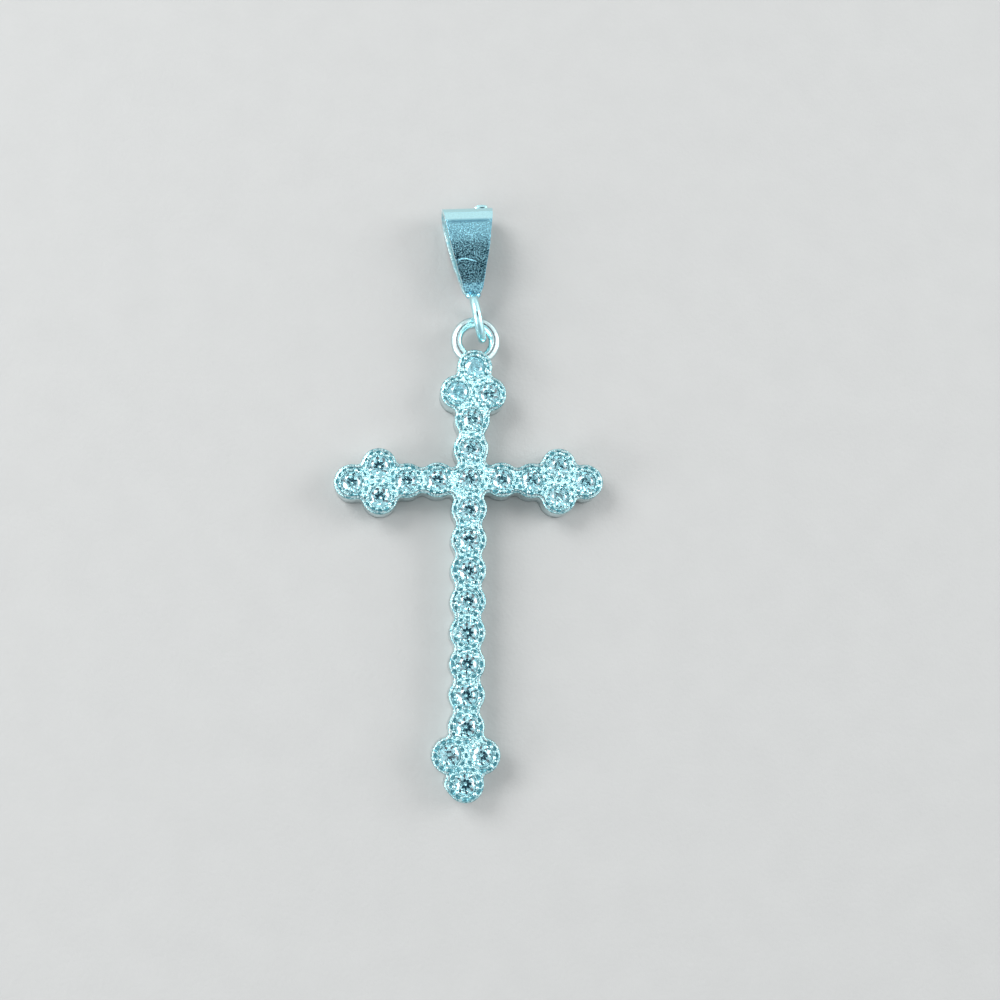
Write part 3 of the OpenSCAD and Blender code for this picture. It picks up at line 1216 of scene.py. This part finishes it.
@dataclass
class Brilliant:
    """A round stone, cut facet by facet from a short rod, and set in every seat with a slight tilt."""

    layout: Layout
    girdle_r: float = 0.75
    girdle_h: float = 0.05
    crown_h: float = 0.24
    pavilion_h: float = 0.64
    table_r: float = 0.42
    star_slope: float = math.radians(23)
    upper_slope: float = math.radians(43)
    lower_slope: float = math.radians(42.6)
    sides: int = 8
    rod_sides: int = 64
    rod_spare: float = 1.2
    weld: float = 0.0005
    most_tilt: float = math.radians(4.5)
    seed: int = 5
    pale: tuple[str, ...] = ("stone_head_tip", "stone_head_pair_b")

    def _facet(self, turn: float, slope: float, out: float, height: float) -> None:
        """Cuts one facet off the open stone: a plane through a point, sloped outwards from straight up."""
        way = heading(turn).to_3d()
        normal = math.sin(slope) * way + Vector((0, 0, math.cos(slope)))
        point = out * way + Vector((0, 0, height))
        bpy.ops.mesh.select_all(action="SELECT")
        bpy.ops.mesh.bisect(plane_co=point, plane_no=normal, use_fill=True, clear_outer=True)

    def _cut(self) -> Piece:
        """Cuts the stone with the bottom of its girdle at height 0."""
        low, high = -self.pavilion_h * self.rod_spare, self.girdle_h + self.crown_h * self.rod_spare
        rod = dict(vertices=self.rod_sides, radius=self.girdle_r, depth=high - low)
        rod["location"] = (0, 0, (low + high) / 2)
        stone = primitive(bpy.ops.mesh.primitive_cylinder_add, **rod)
        part = math.tau / self.sides
        main_slope = math.atan2(self.crown_h, self.girdle_r - self.table_r)
        pavilion_slope = math.atan2(self.pavilion_h, self.girdle_r)
        top = self.girdle_h + self.crown_h
        near = self.girdle_r * math.cos(part / 4)
        table_side = self.table_r * math.cos(part / 2)
        with editing(stone):
            self._facet(0, 0, 0, top)
            for i in range(self.sides):
                turn = i * part
                self._facet(turn, main_slope, self.girdle_r, self.girdle_h)
                self._facet(turn + part / 2, self.star_slope, table_side, top)
                self._facet(turn, math.pi - pavilion_slope, self.girdle_r, 0)
            for i in range(2 * self.sides):
                turn = (i + 0.5) * part / 2
                self._facet(turn, self.upper_slope, near, self.girdle_h)
                self._facet(turn, math.pi - self.lower_slope, near, 0)
            bpy.ops.mesh.select_all(action="SELECT")
            bpy.ops.mesh.remove_doubles(threshold=self.weld)
        face_outwards(stone)
        return stone

    def build(self, finish: Material, pale_finish: Material) -> None:
        """Cuts the stone once and sets a copy of it in each seat, in place of the CAD stone.

        Args:
            finish: The clear stones' finish.
            pale_finish: The finish of the few stones that look pale and cloudy.
        """
        draw = random.Random(self.seed)
        model = self._cut()
        for node, middle in self.layout.stones.items():
            low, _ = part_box(node)
            at = Vector((*middle.xy, low.z / MM + self.pavilion_h))
            turn = Matrix.Rotation(draw.uniform(0, math.tau), 4, "Z")
            axis = Vector((draw.uniform(-1, 1), draw.uniform(-1, 1), 0)).normalized()
            tilt = Matrix.Rotation(draw.uniform(-1, 1) * self.most_tilt, 4, axis)
            mesh = model.data.copy()
            mesh.materials.append(pale_finish if node in self.pale else finish)
            mesh.transform(Matrix.Translation(at) @ tilt @ turn)
            settle(on_bench(node, mesh), node.replace("stone", "brilliant"), Slot.STONE, node)
        bpy.data.objects.remove(model)


# Studio


@dataclass(frozen=True)
class Panel:
    """A soft light panel."""

    name: str
    place: Triple
    size: Span
    watts: float
    colour: Triple

    def lit(self) -> None:
        """Adds the panel, aimed at the origin."""
        bpy.ops.object.select_all(action="DESELECT")
        bpy.ops.object.light_add(type="AREA", location=self.place)
        lamp = bpy.context.view_layer.objects.active
        lamp.name = self.name
        lamp.data.shape = "RECTANGLE"
        lamp.data.size, lamp.data.size_y = self.size
        lamp.data.energy = self.watts
        lamp.data.color = self.colour
        lamp.rotation_euler = Vector(self.place).to_track_quat("Z", "Y").to_euler()


PANELS = (
    Panel("key", (-0.32, 0.24, 0.34), (0.28, 0.28), 2.2, (0.96, 0.99, 1.0)),
    Panel("side", (0.42, 0.10, 0.22), (0.26, 0.26), 1.4, (0.96, 0.99, 1.0)),
    Panel("low", (-0.40, -0.16, 0.16), (0.22, 0.18), 1.0, (0.98, 0.99, 1.0)),
)


@dataclass
class Studio:
    """The camera at the photograph's angle, the floor, the light panels and the sky between them."""

    azimuth: float = math.radians(-33)
    elevation: float = math.radians(79.6)
    roll: float = math.radians(33.986)
    distance: float = 95.253
    aim: Span = (-2.363, 1.235)
    lens: float = 46.8
    sensor: float = 36.0
    near_clip: float = 0.005
    floor_side: float = 6.0
    card: Colour = (0.035, 0.06, 0.08, 1)
    card_way: Triple = (0.06, 0.07, 0.996)
    card_reach: float = math.radians(12)
    card_fade: float = math.radians(17)
    sky_colour: Colour = (0.82, 0.84, 0.85, 1)
    south_colour: Colour = (0.36, 0.42, 0.45, 1)
    south_span: Span = (-0.9, -0.35)
    sky_strength: float = 1.10
    side_gain: float = 0.6
    side_span: Span = (0.3, 0.7)

    def camera(self) -> None:
        """Creates the camera and makes it the scene's own."""
        data = bpy.data.cameras.new("camera")
        data.lens = self.lens
        data.sensor_width = self.sensor
        data.clip_start = self.near_clip
        camera = on_bench("camera", data)
        flat = math.cos(self.elevation)
        east, south = math.sin(self.azimuth) * flat, math.cos(self.azimuth) * flat
        back = Vector((east, -south, math.sin(self.elevation)))
        level = Vector((0, 0, 1)).cross(back).normalized()
        rise = back.cross(level)
        right = math.cos(self.roll) * level + math.sin(self.roll) * rise
        up = -math.sin(self.roll) * level + math.cos(self.roll) * rise
        eye = (-self.aim[0] * right - self.aim[1] * up + self.distance * back) * MM
        turn = Matrix((right, up, back)).transposed().to_4x4()
        camera.matrix_world = Matrix.Translation(eye) @ turn
        bpy.context.scene.camera = camera

    def floor(self, finish: Material) -> None:
        """Lays the plain floor."""
        floor = primitive(bpy.ops.mesh.primitive_plane_add, size=self.floor_side)
        floor.name = "floor"
        floor.data.materials.append(finish)

    def sky(self) -> None:
        """Fills what lies behind the panels: pale all round, with a dark card round the lens overhead."""
        world = bpy.data.worlds.new("studio")
        bpy.context.scene.world = world
        r = Recipe(world)
        way = r.add("TexCoord", {}, {}, "Generated")
        near = r.add("VectorMath", {"operation": "DOT_PRODUCT"}, {0: way, 1: self.card_way}, "Value")
        card = near.ramp(math.cos(self.card_fade), math.cos(self.card_reach))
        east, north, _ = r.axes(way)
        sides = abs(east).ramp(*self.side_span)
        open_sky = r.blend(north.ramp(*self.south_span), self.south_colour, self.sky_colour)
        tone = r.blend(card, open_sky, self.card)
        strength = self.sky_strength * (1 + self.side_gain * sides)
        light = r.add("Background", {}, {"Color": tone, "Strength": strength})
        r.end("OutputWorld", light)

    def lights(self) -> None:
        """Lights the panels, and shows colours as they are."""
        for panel in PANELS:
            panel.lit()
        bpy.context.scene.view_settings.view_transform = "Standard"


def main() -> None:
    """Builds the pendant around the frame, and the studio around the pendant."""
    logging.basicConfig(level=logging.INFO, format="%(name)s: %(message)s")
    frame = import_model()
    studio = Studio()
    studio.camera()
    layout = Layout(frame["nodes"])
    casting = Casting(layout)
    casting.build(CastSilver().made(), PitSilver().made())
    bail = Bail(casting.loop_at, layout.arms["head"].turn, casting.loop_r)
    bail.build(BailSilver().made(), EdgeSilver().made())
    Brilliant(layout).build(ClearStone().made(), PALE_STONE.made())
    studio.floor(PaleFloor().made())
    studio.lights()
    studio.sky()


if __name__ == "__main__":
    main()
